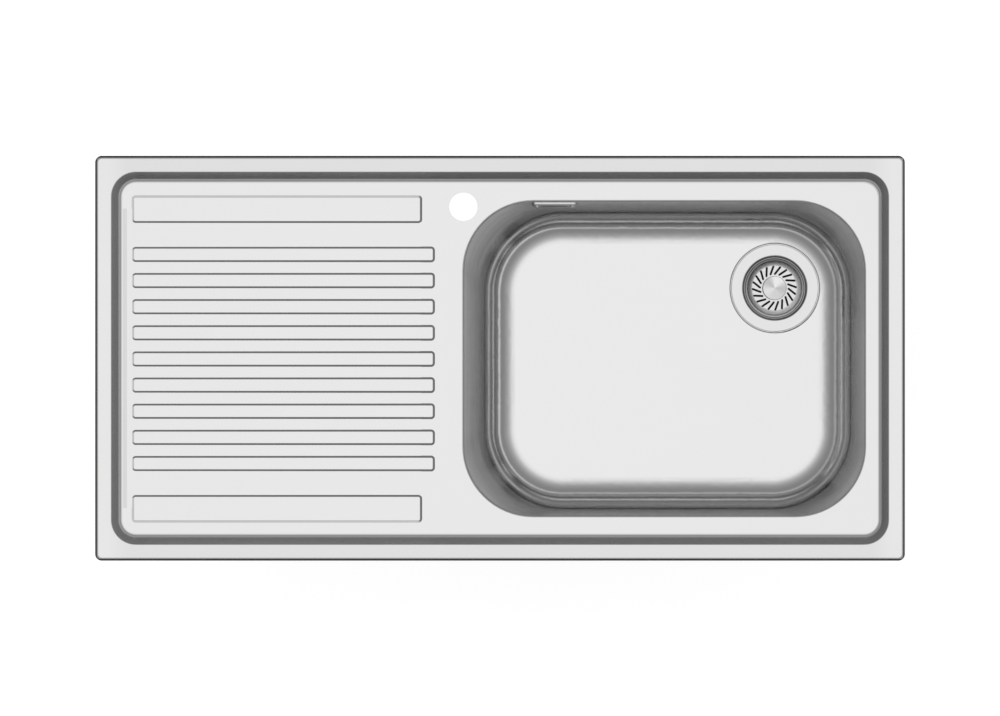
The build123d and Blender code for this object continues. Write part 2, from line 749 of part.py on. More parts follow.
# ---- worktop seal and rails
def make_rim_seal():
    """Foam strip between the rim's underside and the worktop."""
    outer = rounded_block(top_length - 2 * seal_from, top_depth - 2 * seal_from, rim_corner, 0, rim_top - sheet)
    inner = rounded_block(top_length - 2 * seal_to, top_depth - 2 * seal_to, rim_corner, 0, rim_top - sheet)
    return outer - inner


def rail(x_span, y_span, top, side):
    """An angle rail: its web fills the outer wall of the span, its flange lies under the deck."""
    flange = block(x_span, y_span, (top - rail_wall, top))
    web_x, web_y = list(x_span), list(y_span)
    if side[0]:
        web_x = [x_span[side[0] > 0], x_span[side[0] > 0] - side[0] * rail_wall]
    else:
        web_y = [y_span[side[1] > 0], y_span[side[1] > 0] - side[1] * rail_wall]
    return flange + block(web_x, web_y, (rail_foot, top))


def make_rails():
    """The five welded rails, by name."""
    half_x, half_y = top_length / 2, top_depth / 2
    right = half_x - rail_inboard
    left = left_rail_inboard - half_x
    back = half_y - rail_inboard
    end_x, end_y, left_end_y = half_x - rail_end, half_y - rail_end, half_y - left_rail_end
    across = (back - rail_flange, back)
    return {
        "rail_front": rail((-end_x, end_x), (-back, -back + rail_flange), deck_back, (0, -1)),
        "rail_rear_left": rail((-end_x, tap_place[0] - rail_tap_gap), across, deck_back, (0, 1)),
        "rail_rear_right": rail((overflow_x + rail_overflow_gap, end_x), across, deck_back, (0, 1)),
        "rail_left": rail((left, left + rail_flange), (-left_end_y, left_end_y),
                          deck_back + field_high - field_fall * (left_rail_clear + rail_flange), (-1, 0)),
        "rail_right": rail((right - rail_flange, right), (-end_y, end_y), deck_back, (1, 0)),
    }


# ---- clips: drawn with the rim's edge at x=0 and the sink at minus x
def clip_places():
    """(place on the rim's edge, turn, how far inboard the web is) of each clip."""
    half_x, half_y = top_length / 2, top_depth / 2
    rear = [((x, half_y), 90, rail_inboard) for x in clip_x_rear]
    front = [((x, -half_y), -90, rail_inboard) for x in clip_x_front]
    sides = [((half_x, 0.0), 0, rail_inboard), ((-half_x, 0.0), 180, left_rail_inboard)]
    return rear + front + sides


def at_clip(place, turn, solid):
    """A clip's solid at its place."""
    return Pos(*place, 0) * Rot(0, 0, turn) * solid


def clip_bracket(web):
    """Bracket welded to the rail's web, with a threaded boss on its tab."""
    half = bracket_width / 2
    leg = block((-web, -web + bracket_wall), (-half, half), (tab_top - bracket_wall, bracket_top))
    leg = fillet(leg.edges().filter_by(Axis.X).group_by(Axis.Z)[-1], 4.0)
    tab = block((-web, -screw_inboard + tab_nose), (-tab_width / 2, tab_width / 2),
                (tab_top - bracket_wall, tab_top))
    tab = fillet(tab.edges().filter_by(Axis.Z).group_by(Axis.X)[-1], 5.0)
    boss = rod(boss_outer, boss_foot, tab_top, (-screw_inboard, 0))
    hole = rod(thread_bore, boss_foot, tab_top, (-screw_inboard, 0))
    return leg + tab + boss - hole


def make_clip_brackets():
    """All the brackets."""
    return Compound(children=[at_clip(place, turn, clip_bracket(web)) for place, turn, web in clip_places()])


def clip_arm(web):
    """Hook: a channel under the screw, a toothed grip at the worktop and a guide tab behind the rail."""
    half = arm_width / 2
    guide_outer = -web - rail_wall - guide_gap
    guide_inner = guide_outer - guide_wall
    grip = grip_top - tooth_high
    section = [
        (guide_inner, arm_foot), (-riser_inboard, arm_foot), (-riser_inboard, grip - arm_wall),
        (-grip_inboard, grip - arm_wall), (-grip_inboard, grip), (-riser_inboard - arm_wall, grip),
        (-riser_inboard - arm_wall, arm_foot + arm_wall), (guide_inner, arm_foot + arm_wall),
    ]
    face = make_face(Polyline(*[(x, -half, z) for x, z in section], close=True))
    arm = extrude(face, arm_width, dir=(0, 1, 0))
    for y in (-half, half - arm_flange_wall):
        arm += block((guide_outer + 2, -riser_inboard - arm_wall), (y, y + arm_flange_wall),
                     (arm_foot, arm_foot + arm_wall + arm_flange_high))
    arm += block((guide_inner, guide_outer), (-guide_width / 2, guide_width / 2), (arm_foot, guide_top))
    tooth_pitch = (riser_inboard - grip_inboard) / grip_teeth
    for i in range(grip_teeth):
        tip = -grip_inboard - tooth_pitch * i
        tooth = make_face(Polyline((tip, -half, grip), (tip, -half, grip_top), (tip - tooth_pitch, -half, grip),
                                   close=True))
        arm += extrude(tooth, arm_width, dir=(0, 1, 0))
    return arm - rod(thread_bore, arm_foot, arm_foot + arm_wall, (-screw_inboard, 0))


def clip_screw():
    """M5 screw with a cross recess in its head, which faces down."""
    top = arm_foot - head_gap
    head = rod(head_radius, top - head_high, top)
    head = fillet(head.edges().group_by(Axis.Z)[0], 1.0)
    length, width, deep = cross_slot
    for size in ((length, width, 2 * deep), (width, length, 2 * deep)):
        head -= Pos(0, 0, top - head_high) * Box(*size)
    shank = rod(thread_radius, top, screw_top)
    shank = chamfer(shank.edges().group_by(Axis.Z)[-1], 0.6)
    return Pos(-screw_inboard, 0, 0) * (head + shank)


# ---- pads
def make_bowl_pad():
    """Pad under the bowl's floor."""
    top = floor - sheet
    return rounded_block(*bowl_pad_size, bowl_pad_corner, top - bowl_pad_wall, top, bowl_pad_place)


def make_drain_pad():
    """Pad under the drain field, with its face along the field's slope."""
    (_, _), (x_high, z_high), (x_low, z_low) = field_outline(sheet)
    fall = (z_low - z_high) / (x_low - x_high)
    tops = [z_high + fall * (x - x_high) - drain_pad_gap for x in drain_pad_x]
    section = [(x, z) for x, z in zip(drain_pad_x, tops)]
    section += [(x, z - drain_pad_wall) for x, z in reversed(section)]
    face = make_face(Polyline(*[(x, -drain_pad_half, z) for x, z in section], close=True))
    return extrude(face, 2 * drain_pad_half, dir=(0, 1, 0))


def all_parts():
    """Every sub-part by its name."""
    parts = {
        "sink_top": make_sink_top(),
        "bowl": make_bowl(),
        "rim_seal": make_rim_seal(),
        "clip_brackets": make_clip_brackets(),
        "bowl_pad": make_bowl_pad(),
        "drain_pad": make_drain_pad(),
        "waste_cup": make_waste_cup(),
        "cup_seal": make_cup_seal(),
        "cup_washer": make_cup_washer(),
        "waste_body": make_waste_body(),
        "waste_screw": make_waste_screw(),
        "basket": make_basket(),
        "basket_hub": make_basket_hub(),
        "knob": make_knob(),
        "stem": make_stem(),
        "stopper_seal": make_stopper_seal(),
        "stem_clip": make_stem_clip(),
        "overflow_plate": make_overflow_plate(),
        "overflow_screws": make_overflow_screws(),
        "overflow_gasket": make_overflow_gasket(),
        "overflow_elbow": make_overflow_elbow(),
        "overflow_hose": make_overflow_hose(),
        "hose_clips": make_hose_clips(),
    }
    parts.update(make_rails())
    for number, (place, turn, web) in enumerate(clip_places(), 1):
        parts[f"clip_arm_{number:02d}"] = at_clip(place, turn, clip_arm(web))
        parts[f"clip_screw_{number:02d}"] = at_clip(place, turn, clip_screw())
    return parts


os.makedirs("parts", exist_ok=True)
for name, solid in all_parts().items():
    export_step(solid, f"parts/{name}.step")
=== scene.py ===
"""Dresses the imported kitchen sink: its finishes, its threads, hose, band clips and welds, and a pale stage.

Run as a script. Metres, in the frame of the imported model: the origin is the centre of the rim's seat on the
worktop, +X runs along the sink with the drainboard at the left, +Y to the back and +Z up.
"""

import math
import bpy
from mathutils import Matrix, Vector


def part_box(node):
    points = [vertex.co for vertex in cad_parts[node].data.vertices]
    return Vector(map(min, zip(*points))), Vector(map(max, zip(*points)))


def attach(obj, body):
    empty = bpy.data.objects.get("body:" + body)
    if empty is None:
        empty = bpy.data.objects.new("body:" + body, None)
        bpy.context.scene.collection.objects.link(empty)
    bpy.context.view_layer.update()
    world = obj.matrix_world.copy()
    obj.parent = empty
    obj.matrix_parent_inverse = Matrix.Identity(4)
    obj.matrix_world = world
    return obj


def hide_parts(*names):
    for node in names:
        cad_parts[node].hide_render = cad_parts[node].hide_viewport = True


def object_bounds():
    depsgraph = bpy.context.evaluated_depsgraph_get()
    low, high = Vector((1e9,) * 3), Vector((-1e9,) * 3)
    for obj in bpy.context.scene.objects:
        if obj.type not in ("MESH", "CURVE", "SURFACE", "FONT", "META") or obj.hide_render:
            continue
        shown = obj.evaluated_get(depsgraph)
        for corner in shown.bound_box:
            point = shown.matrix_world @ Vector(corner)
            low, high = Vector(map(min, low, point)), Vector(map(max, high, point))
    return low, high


bl_info = {
    "name": "Kitchen Sink with Drainboard",
    "version": (1, 0, 0),
    "blender": (4, 5, 0),
    "location": "3D View > Sidebar > Sink",
    "description": "Finishes, threads, hose, clips and stage for the packed kitchen sink",
    "category": "Object",
}

from bisect import bisect_left

import bmesh
import bpy
from bpy.props import FloatProperty, FloatVectorProperty, IntProperty, PointerProperty
from mathutils import Matrix, Vector

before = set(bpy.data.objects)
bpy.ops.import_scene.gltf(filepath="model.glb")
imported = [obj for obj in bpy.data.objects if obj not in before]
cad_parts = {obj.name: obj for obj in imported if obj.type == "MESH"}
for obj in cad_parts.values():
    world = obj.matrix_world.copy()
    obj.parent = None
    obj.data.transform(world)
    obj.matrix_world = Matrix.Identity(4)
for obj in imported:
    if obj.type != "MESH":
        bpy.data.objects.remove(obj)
cad_box = [list(corner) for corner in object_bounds()]
bowl_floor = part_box("waste_cup")[1][2]         # height of the strainer's face
clip_numbers = range(1, 9)
rails = ("rail_front", "rail_rear_left", "rail_rear_right", "rail_left", "rail_right")

# the overflow hose's route, from inside its cuff on the elbow to its cuff on the waste body
hose_points = ((0.068, 0.20791, -0.05422), (0.068, 0.20057, -0.15774), (0.098, 0.18235, -0.229),
               (0.186, 0.0884, -0.226), (0.286, 0.0884, -0.226))
hose_lap = 0.012


# ---- sizes and colours that a user would change
def length(name, description, default):
    """A length in metres."""
    return FloatProperty(name=name, description=description, default=default, unit="LENGTH", precision=5)


def colour(name, description, default):
    """A colour."""
    return FloatVectorProperty(name=name, description=description, default=default, size=3, subtype="COLOR",
                               min=0.0, max=1.0)


def share(name, description, default):
    """A brightness beside another one."""
    return FloatProperty(name=name, description=description, default=default, min=0.0, max=1.15,
                         subtype="FACTOR")


class SinkStageSettings(bpy.types.PropertyGroup):
    camera_height: length("Camera height", "Height of the camera above the rim", 10.0)
    frame_width: length("Frame width", "Width that the camera sees at the rim", 1.2346)
    frame_raise: length("Frame raise", "How far the camera stands behind the sink's middle", 0.0003)
    floor_gap: length("Floor gap", "Gap between the waste outlet and the floor", 0.0005)
    floor_radius: length("Floor radius", "Radius of the round floor", 7.0)
    floor_colour: colour("Floor colour", "Colour of the pale floor", (0.86, 0.86, 0.86))
    floor_glow: share("Floor glow", "How white the floor looks before light reaches it", 0.86)
    floor_mirrored: share("Floor mirrored", "Grey of the floor as metal mirrors it", 0.16)
    room_light: FloatProperty(name="Room light", description="Light on matt surfaces", default=0.8, min=0.0)
    lamp_power: FloatProperty(name="Lamp power", description="Power of the soft lamp", default=60.0, min=0.0,
                              unit="POWER")


class SinkFinishSettings(bpy.types.PropertyGroup):
    steel: colour("Steel", "Colour of the satin steel", (0.835, 0.835, 0.832))
    # The next two brightnesses are painted shade on the rim band and a painted highlight on its two short
    # ends.
    rim_painted_shade: share("Rim share", "How bright the rim is beside the deck", 0.955)
    ends_painted_highlight: share("End share", "How bright the rim's two short ends are beside the deck", 1.03)
    # This brightness is painted shade on the rim's rolled edge.
    edge_painted_shade: share("Edge share", "How bright the rim's rolled edge is beside the deck", 0.05)
    # This brightness is painted shade on the bowl's walls.
    wall_painted_shade: share("Wall share", "How bright the bowl's walls are beside its floor", 0.70)
    waste_steel: colour("Waste steel", "Colour of the polished waste", (0.84, 0.84, 0.84))
    flange_share: share("Flange share", "How bright the waste's flange is beside the basket", 0.95)
    # This brightness is painted shade on the bend inside the flange.
    throat_painted_shade: share("Throat share", "How bright the bend inside the flange is beside the basket", 0.42)
    # This near-black is painted shade, down in the waste and on the basket's rim.
    well_steel_painted_shade: colour("Well steel", "Colour of the steel down in the waste", (0.04, 0.04, 0.04))
    zinc: colour("Zinc", "Colour of the galvanised rails and the clips", (0.62, 0.635, 0.655))
    screw_steel: colour("Screw steel", "Colour of screws and bands", (0.70, 0.70, 0.70))
    plastic: colour("Plastic", "Colour of the waste's moulded body", (0.80, 0.80, 0.78))
    hose: colour("Hose", "Colour of the overflow's hose", (0.62, 0.63, 0.64))
    rubber: colour("Rubber", "Colour of washers and seals", (0.035, 0.035, 0.037))
    pad: colour("Pad", "Colour of the sound-deadening pads", (0.075, 0.077, 0.082))
    foam: colour("Foam", "Colour of the rim's foam seal", (0.11, 0.11, 0.115))


class SinkPieceSettings(bpy.types.PropertyGroup):
    screw_pitch: length("Screw pitch", "Pitch of the clip screws' thread", 0.0008)
    screw_core: length("Screw core", "Radius at the foot of the clip screws' thread", 0.00202)
    screw_radius: length("Screw radius", "Radius at the crest of the clip screws' thread", 0.00245)
    outlet_pitch: length("Outlet pitch", "Pitch of the waste outlet's pipe thread", 0.002309)
    outlet_core: length("Outlet core", "Radius at the foot of the outlet's thread", 0.02245)
    outlet_radius: length("Outlet radius", "Radius at the crest of the outlet's thread", 0.0239)
    hose_bore: length("Hose bore", "Radius of the hose's bore", 0.0106)
    hose_cuff: length("Hose cuff", "Radius of the hose's plain cuffs", 0.0126)
    hose_valley: length("Hose valley", "Radius of the hose between its ribs", 0.0118)
    hose_crest: length("Hose crest", "Radius of the hose's ribs", 0.0136)
    cuff_long: length("Cuff length", "Length of the hose's cuffs", 0.026)
    rib_count: IntProperty(name="Rib count", description="Ribs on the hose", default=76, min=1)
    weld_pitch: length("Weld pitch", "Distance between the spot welds on the rails", 0.055)
    weld_radius: length("Weld radius", "Radius of a spot weld", 0.0026)
    turn_steps: IntProperty(name="Turn steps", description="Steps round the hose", default=48, min=12)


# ---- shader maths
class Signal:
    """A shader socket in a formula: each operator on it adds one Math node."""

    def __init__(self, shader, socket):
        self.shader = shader
        self.socket = socket

    def maths(self, operation, *terms):
        sockets = dict(enumerate(terms))
        return self.shader.add("ShaderNodeMath", {"operation": operation}, sockets)["Value"]

    def __add__(self, other):
        return self.maths("ADD", self, other)

    def __radd__(self, other):
        return self.maths("ADD", other, self)

    def __sub__(self, other):
        return self.maths("SUBTRACT", self, other)

    def __rsub__(self, other):
        return self.maths("SUBTRACT", other, self)

    def __mul__(self, other):
        return self.maths("MULTIPLY", self, other)

    def __rmul__(self, other):
        return self.maths("MULTIPLY", other, self)

    def __truediv__(self, other):
        return self.maths("DIVIDE", self, other)

    def __pow__(self, power):
        return self.maths("POWER", self, power)

    def sine(self):
        return self.maths("SINE", self)

    def larger(self, other):
        return self.maths("MAXIMUM", self, other)

    def between(self, low, high):
        """0 below low and 1 above high, smooth between them."""
        return self.shader.add("ShaderNodeMapRange", {"interpolation_type": "SMOOTHSTEP"},
                               {"Value": self, "From Min": low, "From Max": high})["Result"]


class Outputs:
    """A node's outputs by name."""

    def __init__(self, shader, node):
        self.shader = shader
        self.node = node

    def __getitem__(self, name):
        return Signal(self.shader, self.node.outputs[name])


class Shader:
    """A node tree that add() fills."""

    def __init__(self, tree):
        self.tree = tree
        tree.nodes.clear()

    def add(self, kind, settings=None, sockets=None):
        """A node of this kind, with its settings made first and then the values or links of its sockets."""
        node = self.tree.nodes.new(kind)
        for name, value in (settings or {}).items():
            if name == "stops":
                self.set_stops(node.color_ramp, value)
            else:
                setattr(node, name, value)
        for name, value in (sockets or {}).items():
            if isinstance(value, Signal):
                self.tree.links.new(value.socket, node.inputs[name])
            else:
                node.inputs[name].default_value = value
        return Outputs(self, node)

    @staticmethod
    def set_stops(ramp, stops):
        """Gives a ramp its (place, grey or colour) stops."""
        while len(ramp.elements) > 1:
            ramp.elements.remove(ramp.elements[-1])
        for number, (place, value) in enumerate(stops):
            stop = ramp.elements[0] if number == 0 else ramp.elements.new(place)
            stop.position = place
            stop.color = (value, value, value, 1.0) if isinstance(value, float) else (*value, 1.0)

    def mix(self, factor, first, second):
        """Colour first at factor 0 and second at 1."""
        pair = [value if isinstance(value, Signal) else (*value, 1.0) for value in (first, second)]
        return Signal(self, self.add("ShaderNodeMix", {"data_type": "RGBA"},
                                     {0: factor, 6: pair[0], 7: pair[1]}).node.outputs[2])


class Finish(Shader):
    """A material on one Principled surface, whose patterns lie on the object's own coordinates."""

    def __init__(self, name, **constants):
        self.material = bpy.data.materials.new(name)
        self.material.use_nodes = True
        super().__init__(self.material.node_tree)
        self.surface = self.add("ShaderNodeBsdfPrincipled")
        self.add("ShaderNodeOutputMaterial", None, {"Surface": self.surface["BSDF"]})
        self.coordinates = self.add("ShaderNodeTexCoord")
        self.place = self.coordinates["Object"]
        for socket, value in constants.items():
            self.set(socket.replace("_", " "), value)

    def set(self, socket, value):
        """Gives the surface's socket a value, a colour or a link."""
        target = self.surface.node.inputs[socket]
        if isinstance(value, Signal):
            self.tree.links.new(value.socket, target)
        elif target.type == "RGBA":
            target.default_value = (*value, 1.0)
        else:
            target.default_value = value

    def noise(self, scale, detail=2.0):
        """Soft noise with so many features to the metre along X, Y and Z."""
        vector = self.add("ShaderNodeMapping", None, {"Vector": self.place, "Scale": scale})["Vector"]
        return self.add("ShaderNodeTexNoise", None, {"Vector": vector, "Scale": 1.0, "Detail": detail})["Fac"]

    def cells(self, scale, output="Distance"):
        """Cells with so many to the metre along X, Y and Z."""
        vector = self.add("ShaderNodeMapping", None, {"Vector": self.place, "Scale": scale})["Vector"]
        return self.add("ShaderNodeTexVoronoi", None, {"Vector": vector, "Scale": 1.0})[output]

    def parts_of(self, vector):
        """X, Y and Z of a vector."""
        split = self.add("ShaderNodeSeparateXYZ", None, {"Vector": vector})
        return split["X"], split["Y"], split["Z"]

    def round_the_waste(self):
        """Distance from the waste's axis, and the angle round it."""
        middle = middle_of("knob")
        x, y, _ = self.parts_of(self.place)
        across, along = x - middle.x, y - middle.y
        return (across ** 2.0 + along ** 2.0) ** 0.5, across.maths("ARCTAN2", along, across)

    def edge_distance(self):
        """Distance in from the rim's outer edge."""
        x, y, _ = self.parts_of(self.place)
        across = cad_box[1][0] - x.maths("ABSOLUTE", x)
        along = cad_box[1][1] - y.maths("ABSOLUTE", y)
        return across.maths("MINIMUM", across, along)

    def relief(self, height, depth):
        """Raises the surface by depth metres times height."""
        bump = self.add("ShaderNodeBump", None, {"Height": height, "Distance": depth, "Strength": 1.0})
        self.set("Normal", bump["Normal"])

    def varied(self, tint, spread, factor):
        """A colour that varies about a tint by a share."""
        low = [channel * (1 - spread) for channel in tint]
        high = [min(1.0, channel * (1 + spread)) for channel in tint]
        return self.mix(factor, low, high)

    def vary(self, tint, spread, factor):
        """Base colour that varies about a tint by a share."""
        self.set("Base Color", self.varied(tint, spread, factor))


# ---- finishes
def settings():
    """The finishes' colours."""
    return bpy.context.scene.sink_finishes


def part_of(share_of_it, tint):
    """A tint at a share of its brightness."""
    return [min(1.0, share_of_it * channel) for channel in tint]


def satin_steel():
    """Fine satin of the pressed top, ground along the sink, with a rougher rim; the rim band is a little
    darker as painted shade, its two short ends lighter as a painted highlight, and its rolled edge near-black
    as painted shade.
    """
    finish = Finish("satin_steel", Metallic=1.0)
    lines = finish.noise((30.0, 1500.0, 1500.0), 3.0)
    cloud = finish.noise((9.0, 14.0, 14.0), 3.0)
    right, _, top = cad_box[1]
    across, _, height = finish.parts_of(finish.place)
    rim = height.between(top - 0.006, top - 0.001)
    ends = across.maths("ABSOLUTE", across).between(right - 0.045, right - 0.012)
    edge = finish.edge_distance().between(0.0010, 0.0034)
    steel = finish.varied(settings().steel, 0.010, cloud)
    # painted shade on the rim band and a painted highlight on its two short ends
    painted_shade_tint = finish.varied(part_of(settings().rim_painted_shade, settings().steel), 0.012, lines)
    bright = finish.varied(part_of(settings().ends_painted_highlight, settings().steel), 0.012, lines)
    flat = finish.mix(rim, steel, finish.mix(ends, painted_shade_tint, bright))
    # painted shade: the rolled edge is made near-black
    finish.set("Base Color", finish.mix(edge, part_of(settings().edge_painted_shade, settings().steel), flat))
    finish.set("Roughness", 0.10 + 0.04 * cloud + 0.04 * lines + 0.05 * rim)
    finish.relief(lines, 0.5e-6)
    return finish.material


def drawn_steel():
    """Smooth satin of the bowl, with the upright streaks that drawing leaves on its walls, and its walls
    painted darker than its floor as painted shade.
    """
    finish = Finish("drawn_steel", Metallic=1.0)
    wall = 1.0 - finish.parts_of(finish.coordinates["Normal"])[2] ** 2.0
    upright = wall.between(0.75, 0.985)
    streaks = finish.noise((170.0, 170.0, 5.0), 4.0)
    bands = finish.noise((4.0, 4.0, 75.0), 1.0)
    cloud = finish.noise((11.0, 11.0, 11.0), 3.0)
    floor = finish.varied(settings().steel, 0.012, cloud)
    # painted shade: the walls are darker than the floor
    painted_shade_tint = finish.varied(part_of(settings().wall_painted_shade, settings().steel), 0.16, bands)
    finish.set("Base Color", finish.mix(upright, floor, painted_shade_tint))
    finish.set("Roughness", 0.09 + 0.04 * cloud + 0.06 * wall * streaks + 0.05 * wall.between(0.3, 0.8))
    grain = finish.noise((900.0, 900.0, 900.0), 2.0)
    finish.relief(upright * bands + 0.03 * streaks * wall + 0.003 * grain, 1.6e-4)
    return finish.material


def waste_steel():
    """Polished pressed steel of the basket and the overflow's cover; the basket's bend is rougher and partly
    non-metallic, more on one side, so that the room light brightens it, and painted shade darkens the
    basket's rim, more on one side, and the slotted ring a little.
    """
    finish = Finish("waste_steel", Metallic=1.0)
    cloud = finish.noise((120.0, 120.0, 120.0), 3.0)
    radius, angle = finish.round_the_waste()
    basket = 1.0 - radius.between(0.040, 0.042)
    slotted = radius.between(0.0145, 0.0165) * (1.0 - radius.between(0.026, 0.029))
    rounding = radius.between(0.027, 0.029) * (1.0 - radius.between(0.0325, 0.0340)) * basket
    shade = basket * radius.between(0.0325, 0.0342) * (0.70 + 0.15 * angle.sine())
    bright = finish.varied(settings().waste_steel, 0.015, cloud)
    # painted shade: the basket's rim goes most of the way to near-black, more on one side, and the slotted
    # ring a tenth of the way
    finish.set("Base Color", finish.mix(shade + 0.10 * slotted, bright, settings().well_steel_painted_shade))
    finish.set("Metallic", 1.0 - rounding * (0.50 - 0.25 * angle.sine()))
    finish.set("Roughness", 0.08 + 0.05 * cloud + 0.30 * rounding)
    finish.relief(finish.noise((2500.0, 2500.0, 2500.0), 2.0), 0.8e-6)
    return finish.material


def well_steel_painted_shade():
    """The waste's cup and what stands in it: polished at the flange, with painted shade on the bend inside
    the flange and a near-black painted shade down in the well, which is also rougher.
    """
    finish = Finish("well_steel_painted_shade", Metallic=1.0)
    cloud = finish.noise((120.0, 120.0, 120.0), 3.0)
    height = finish.parts_of(finish.place)[2]
    lit = height.between(bowl_floor - 0.019, bowl_floor - 0.009)
    radius, _ = finish.round_the_waste()
    flange = finish.varied(part_of(settings().flange_share, settings().waste_steel), 0.015, cloud)
    throat = part_of(settings().throat_painted_shade, settings().waste_steel)
    bright = finish.mix(radius.between(0.0400, 0.0415), throat, flange)
    # painted shade: near-black down in the well and darker at the throat
    finish.set("Base Color", finish.mix(lit, settings().well_steel_painted_shade, bright))
    finish.set("Roughness", 0.30 - 0.20 * lit + 0.04 * cloud)
    finish.relief(finish.noise((2500.0, 2500.0, 2500.0), 2.0), 0.8e-6)
    return finish.material


def turned_steel():
    """Turned face of the knob with fine rings in its relief; its colour has painted highlight and shade in
    wedges and painted shade on one side.
    """
    finish = Finish("turned_steel", Metallic=1.0)
    radius, angle = finish.round_the_waste()
    ring_pitch = 0.00042
    rings = (radius * (2 * math.pi / ring_pitch)).sine()
    twofold = (angle * 2.0 + math.radians(-30.0)).sine()
    threefold = (angle * 3.0 + math.radians(-120.0)).sine()
    # painted highlight and shade in wedges round the knob, and painted shade on one side
    painted_wedges = twofold * 0.6 + threefold * 0.4
    painted_side_shade = 0.78 + 0.22 * angle.sine()
    dark = part_of(0.66, settings().waste_steel)
    bright = part_of(1.07, settings().waste_steel)
    finish.set("Base Color", finish.mix(painted_wedges.between(-1.1, 0.8) * painted_side_shade, dark, bright))
    finish.set("Roughness", 0.12 + 0.03 * rings)
    finish.relief(rings, 1.2e-6)
    return finish.material


def rail_steel():
    """Galvanised sheet with its spangle."""
    finish = Finish("rail_steel", Metallic=1.0)
    spangle = finish.cells((160.0, 160.0, 160.0), "Color")
    grey = finish.add("ShaderNodeSeparateColor", None, {"Color": spangle})["Red"]
    finish.vary(settings().zinc, 0.13, grey)
    finish.set("Roughness", 0.30 + 0.16 * grey)
    finish.relief(grey + 0.4 * finish.noise((1500.0, 1500.0, 1500.0), 2.0), 4.0e-6)
    return finish.material


def zinc_steel():
    """Bright zinc plate of the clip hooks."""
    finish = Finish("zinc_steel", Metallic=1.0)
    cloud = finish.noise((180.0, 180.0, 180.0), 3.0)
    finish.vary(settings().zinc, 0.07, cloud)
    finish.set("Roughness", 0.24 + 0.14 * cloud)
    finish.relief(finish.noise((2200.0, 2200.0, 2200.0), 2.0), 2.5e-6)
    return finish.material


def screw_steel():
    """Bright stainless of screws and bands."""
    finish = Finish("screw_steel", Metallic=1.0)
    cloud = finish.noise((500.0, 500.0, 500.0), 3.0)
    finish.vary(settings().screw_steel, 0.06, cloud)
    finish.set("Roughness", 0.20 + 0.12 * cloud)
    finish.relief(finish.noise((4000.0, 4000.0, 4000.0), 2.0), 1.0e-6)
    return finish.material


def moulded_plastic():
    """Moulded polypropylene of the waste body, the elbow and the guide bush."""
    finish = Finish("plastic", IOR=1.49)
    cloud = finish.noise((60.0, 60.0, 60.0), 3.0)
    grain = finish.noise((3000.0, 3000.0, 3000.0), 2.0)
    finish.vary(settings().plastic, 0.02, cloud)
    finish.set("Roughness", 0.38 + 0.12 * grain)
    finish.relief(grain, 6.0e-6)
    return finish.material


def hose_plastic():
    """Softer plastic of the ribbed hose, its tone varying a little at random."""
    finish = Finish("hose_plastic", IOR=1.5)
    cloud = finish.noise((90.0, 90.0, 90.0), 3.0)
    grain = finish.noise((2400.0, 2400.0, 2400.0), 2.0)
    finish.vary(settings().hose, 0.05, cloud)
    finish.set("Roughness", 0.42 + 0.10 * grain)
    finish.relief(grain, 8.0e-6)
    return finish.material


def rubber():
    """Matt black rubber with a faint bloom."""
    finish = Finish("rubber", IOR=1.52)
    cloud = finish.noise((220.0, 220.0, 220.0), 3.0)
    finish.vary(settings().rubber, 0.25, cloud)
    finish.set("Roughness", 0.55 + 0.2 * cloud)
    finish.relief(finish.noise((3500.0, 3500.0, 3500.0), 2.0), 1.0e-5)
    return finish.material


def damping_pad():
    """Bitumen pad with a pressed waffle."""
    finish = Finish("damping_pad", IOR=1.5)
    x, y, _ = finish.parts_of(finish.place)
    turns = 2 * math.pi / 0.006              # to one square of the waffle
    waffle = (x * turns).sine() * (y * turns).sine()
    speckle = finish.noise((1500.0, 1500.0, 1500.0), 3.0)
    finish.vary(settings().pad, 0.3, speckle)
    finish.set("Roughness", 0.62 + 0.2 * speckle)
    finish.relief(waffle * 0.5 + speckle, 1.2e-4)
    return finish.material


def foam():
    """Open-cell foam of the rim's seal."""
    finish = Finish("foam", IOR=1.45)
    cells = finish.cells((1300.0, 1300.0, 1300.0))
    finish.vary(settings().foam, 0.4, cells)
    finish.set("Roughness", 0.85 + 0.1 * cells)
    finish.relief(cells, 2.5e-4)
    return finish.material


def dress(names, material):
    """Gives CAD nodes a material."""
    for name in names:
        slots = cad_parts[name].material_slots
        for slot in slots:
            slot.link = "OBJECT"
            slot.material = material


# ---- shapes
def make_piece(name, shape, material, body, sharp=30.0):
    """An object from a bmesh, smooth but for its sharp edges, riding on a CAD body."""
    bmesh.ops.recalc_face_normals(shape, faces=shape.faces)
    for face in shape.faces:
        face.smooth = True
    for edge in shape.edges:
        edge.smooth = len(edge.link_faces) == 2 and edge.calc_face_angle() < math.radians(sharp)
    mesh = bpy.data.meshes.new(name)
    shape.to_mesh(mesh)
    shape.free()
    mesh.materials.append(material)
    piece = bpy.data.objects.new(name, mesh)
    bpy.context.scene.collection.objects.link(piece)
    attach(piece, body)
    return piece


def chain(shape, points):
    """Points joined by edges."""
    corners = [shape.verts.new(point) for point in points]
    for pair in zip(corners, corners[1:]):
        shape.edges.new(pair)
    return corners


def turn(shape, profile, steps):
    """Turns a chain of (radius, height) about Z through a whole turn."""
    corners = chain(shape, [(radius, 0.0, height) for radius, height in profile])
    edges = list({edge for corner in corners for edge in corner.link_edges})
    bmesh.ops.spin(shape, geom=corners + edges, cent=(0, 0, 0), axis=(0, 0, 1), dvec=(0, 0, 0),
                   angle=2 * math.pi, steps=steps, use_merge=True, use_normal_flip=False, use_duplicate=False)
    bmesh.ops.remove_doubles(shape, verts=shape.verts, dist=1e-7)


